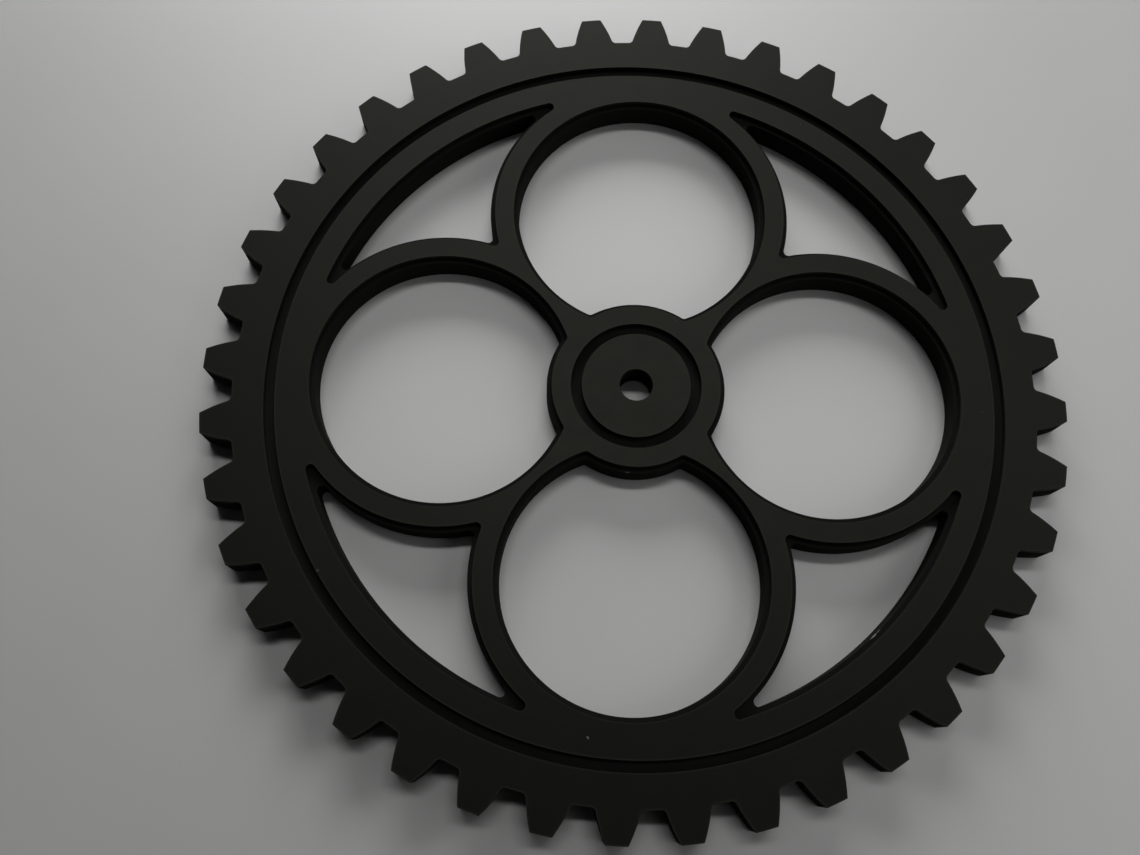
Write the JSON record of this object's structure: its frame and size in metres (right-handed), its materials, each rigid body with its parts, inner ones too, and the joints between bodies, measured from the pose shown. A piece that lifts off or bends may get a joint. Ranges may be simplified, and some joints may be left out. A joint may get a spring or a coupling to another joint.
{
  "type": "toothed plate wheel",
  "caption": "Flat toothed plate wheel with ring-shaped spokes, round and three-cornered windows, stepped window edges, ring grooves in the front face and a small plain bore.",
  "frame": {"origin": "on the bore's axis, at the back face", "axes": "+Z along the bore axis, out of the front face; +X and +Y through the centres of two neighbouring round windows"},
  "size_m": [0.51, 0.51, 0.02],
  "materials": {
    "back_coat": "matte black coat",
    "ring_coat": "matte black coat",
    "web_coat": "matte black coat",
    "disc_coat": "matte black coat"
  },
  "bodies": {
    "root": {"back_plate": "back_coat", "front_toothed_ring": "ring_coat", "front_spoke_web": "web_coat", "front_hub_disc": "disc_coat"}
  },
  "joints": []
}
